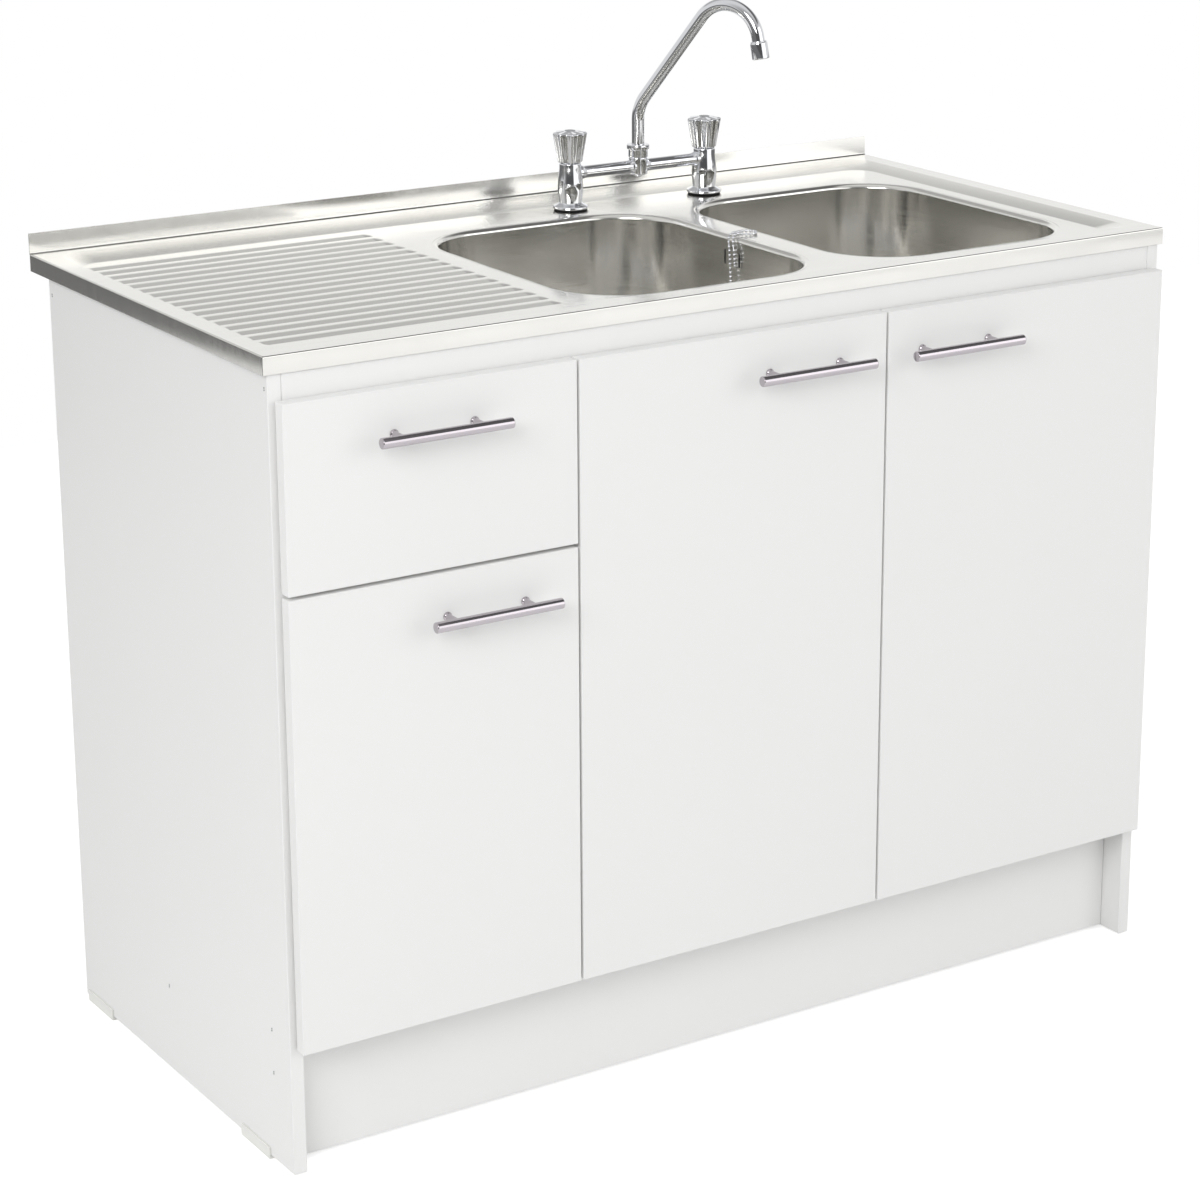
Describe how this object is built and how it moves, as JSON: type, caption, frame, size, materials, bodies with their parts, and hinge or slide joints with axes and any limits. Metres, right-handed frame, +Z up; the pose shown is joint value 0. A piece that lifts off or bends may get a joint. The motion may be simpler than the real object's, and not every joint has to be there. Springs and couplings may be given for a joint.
{
  "type": "kitchen sink cabinet",
  "caption": "White free-standing kitchen base cabinet with hinged doors, a drawer, a pressed stainless double-bowl sink top with drainer and a two-knob bridge mixer with swivel spout.",
  "frame": {"origin": "centre of the base on the floor, under the middle of the whole object's width and depth", "axes": "+X along the width to the right seen from the front, +Y from the front to the back, +Z up"},
  "size_m": [1.2, 0.65, 1.1776],
  "materials": {
    "white_melamine": "white melamine-faced chipboard, satin",
    "white_hardboard": "white painted hardboard, matt",
    "stainless_steel": "pressed stainless sheet, fine brushed",
    "chrome": "polished chrome plate",
    "satin_nickel": "satin nickel plate",
    "zinc_plate": "zinc-plated pressed steel",
    "brass": "plain brass",
    "black_rubber": "black rubber",
    "white_plastic": "white moulded plastic"
  },
  "bodies": {
    "carcass": {"side_panel_left": "white_melamine", "side_panel_right": "white_melamine", "partition": "white_melamine", "bottom_panel": "white_melamine", "front_rail": "white_melamine", "rear_rail": "white_melamine", "plinth": "white_melamine", "plinth_support": "white_melamine", "foot_front_left": "white_plastic", "foot_front_right": "white_plastic", "foot_rear_left": "white_plastic", "foot_rear_right": "white_plastic", "sink_deck": "stainless_steel", "sink_bowl_left": "stainless_steel", "sink_bowl_right": "stainless_steel", "waste_left": "chrome", "waste_right": "chrome", "waste_nut_left": "white_plastic", "waste_nut_right": "white_plastic", "plug": "black_rubber", "plug_chain": "chrome", "overflow_cover": "chrome", "mixer_body": "chrome", "gasket_left": "black_rubber", "gasket_right": "black_rubber", "back_nut_left": "brass", "back_nut_right": "brass", "spout_nut": "chrome", "drawer_runner_left": "white_plastic", "drawer_runner_right": "white_plastic", "left_door_lower_hinge_arm": "zinc_plate", "left_door_upper_hinge_arm": "zinc_plate", "middle_door_lower_hinge_arm": "zinc_plate", "middle_door_upper_hinge_arm": "zinc_plate", "right_door_lower_hinge_arm": "zinc_plate", "right_door_upper_hinge_arm": "zinc_plate"},
    "drawer": {"drawer_front": "white_melamine", "drawer_handle": "satin_nickel", "drawer_side_left": "white_melamine", "drawer_side_right": "white_melamine", "drawer_back": "white_melamine", "drawer_bottom": "white_hardboard"},
    "left_door": {"left_door": "white_melamine", "left_door_handle": "satin_nickel", "left_door_lower_hinge_cup": "zinc_plate", "left_door_upper_hinge_cup": "zinc_plate"},
    "middle_door": {"middle_door": "white_melamine", "middle_door_handle": "satin_nickel", "middle_door_lower_hinge_cup": "zinc_plate", "middle_door_upper_hinge_cup": "zinc_plate"},
    "right_door": {"right_door": "white_melamine", "right_door_handle": "satin_nickel", "right_door_lower_hinge_cup": "zinc_plate", "right_door_upper_hinge_cup": "zinc_plate"},
    "knob_left": {"knob_left": "chrome"},
    "knob_right": {"knob_right": "chrome"},
    "spout": {"spout": "chrome", "aerator": "chrome"}
  },
  "joints": [
    {"name": "drawer_slide", "type": "slide", "parent": "carcass", "child": "drawer", "axis": [0, -1, 0], "range_m": [0, 0.3]},
    {"name": "left_door_hinge", "type": "hinge", "parent": "carcass", "child": "left_door", "pos_m": [-0.588, -0.291, 0.4075], "axis": [0, 0, -1], "range_deg": [0, 105]},
    {"name": "middle_door_hinge", "type": "hinge", "parent": "carcass", "child": "middle_door", "pos_m": [-0.235, -0.291, 0.512], "axis": [0, 0, -1], "range_deg": [0, 80]},
    {"name": "right_door_hinge", "type": "hinge", "parent": "carcass", "child": "right_door", "pos_m": [0.588, -0.291, 0.512], "axis": [0, 0, 1], "range_deg": [0, 105]},
    {"name": "knob_left_turn", "type": "hinge", "parent": "carcass", "child": "knob_left", "pos_m": [0.08, 0.237, 0.9731], "axis": [0, 0, 1], "range_deg": [0, 540]},
    {"name": "knob_right_turn", "type": "hinge", "parent": "carcass", "child": "knob_right", "pos_m": [0.28, 0.237, 0.9731], "axis": [0, 0, 1], "range_deg": [0, 540]},
    {"name": "spout_swivel", "type": "hinge", "parent": "carcass", "child": "spout", "pos_m": [0.18, 0.237, 0.9747], "axis": [0, 0, 1], "range_deg": [-125, 75]}
  ]
}
